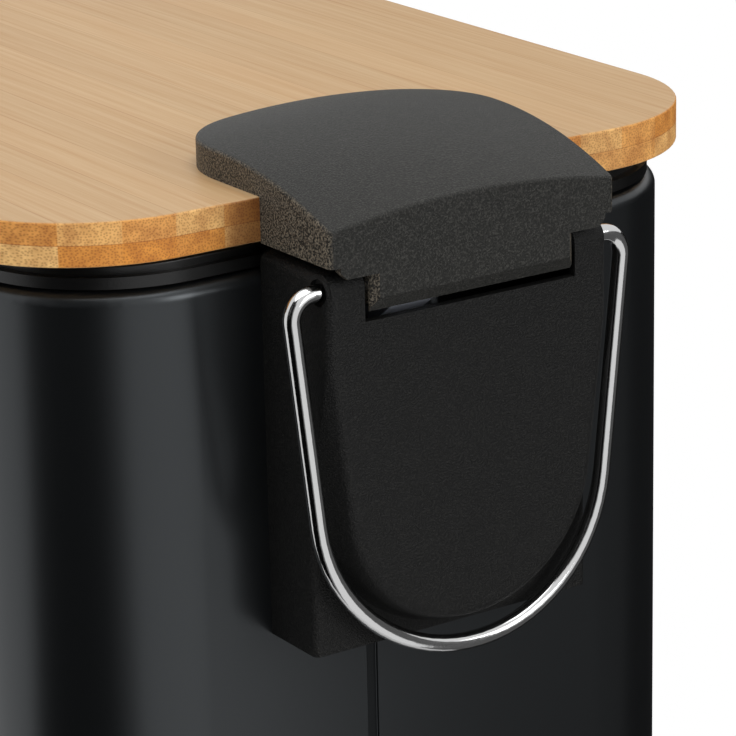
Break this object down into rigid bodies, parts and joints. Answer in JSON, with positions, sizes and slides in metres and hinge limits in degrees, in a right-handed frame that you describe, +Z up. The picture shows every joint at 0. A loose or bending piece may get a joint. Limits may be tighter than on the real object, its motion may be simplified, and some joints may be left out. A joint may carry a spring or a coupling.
{
  "type": "pedal bin",
  "caption": "Slim pedal bin with a rounded rectangular steel body, a bamboo lid, a moulded rear hinge housing, a wire carrying bail and a lift-out bucket.",
  "frame": {"origin": "middle of the body's footprint on the floor, which is also the middle of the whole bin's footprint", "axes": "+Z up, the pedal towards -Y and the hinge housing towards +Y, +X to the right of someone who faces the pedal side"},
  "size_m": [0.203, 0.2996, 0.2955],
  "materials": {
    "bamboo": "satin lacquered bamboo",
    "coat": "satin black powder coat on steel sheet",
    "moulded": "fine textured black moulding",
    "bucket": "plain dark grey moulding",
    "steel": "zinc-plated steel",
    "chrome": "bright chromed wire",
    "rubber": "matt rubber"
  },
  "bodies": {
    "can": {"body_shell": "coat", "bottom_plate": "coat", "rim_ring": "moulded", "base_ring": "moulded", "rubber_feet": "rubber", "hinge_housing": "moulded", "housing_screws": "steel", "hinge_pin": "steel", "rod_guides": "moulded", "pedal_bracket": "steel", "pedal_axle": "steel", "bracket_rivets": "steel"},
    "lid": {"lid_board": "bamboo", "hinge_cap": "moulded", "lid_screws": "steel", "lid_bumpers": "rubber", "lift_lever": "steel", "lever_screw": "steel"},
    "rod": {"lift_rod": "steel"},
    "pedal": {"pedal_lever": "steel", "pedal_pad": "moulded", "pad_rivets": "steel"},
    "bail": {"carry_bail": "chrome"},
    "bucket": {"inner_bucket": "bucket"},
    "handle": {"bucket_handle": "steel"}
  },
  "joints": [
    {"name": "lid_hinge", "type": "hinge", "parent": "can", "child": "lid", "pos_m": [0, 0.1436, 0.2675], "axis": [-1, 0, 0], "range_deg": [0, 75]},
    {"name": "rod_slide", "type": "slide", "parent": "can", "child": "rod", "axis": [0, 0, 1], "range_m": [0, 0.01386]},
    {"name": "pedal_hinge", "type": "hinge", "parent": "can", "child": "pedal", "pos_m": [0, -0.03, 0.019], "axis": [1, 0, 0], "range_deg": [0, 5.46]},
    {"name": "bail_swing", "type": "hinge", "parent": "can", "child": "bail", "pos_m": [0, 0.1436, 0.2675], "axis": [1, 0, 0], "range_deg": [0, 135]},
    {"name": "bucket_lift", "type": "slide", "parent": "can", "child": "bucket", "axis": [0, 0, 1], "range_m": [0, 0.01]},
    {"name": "handle_swing", "type": "hinge", "parent": "bucket", "child": "handle", "pos_m": [0, 0, 0.24005], "axis": [1, 0, 0], "range_deg": [0, 12]}
  ],
  "couplings": [
    {"joint": "rod_slide", "follows": "lid_hinge", "m_per_rad": 0.010581},
    {"joint": "pedal_hinge", "follows": "lid_hinge", "ratio": 0.072693}
  ]
}
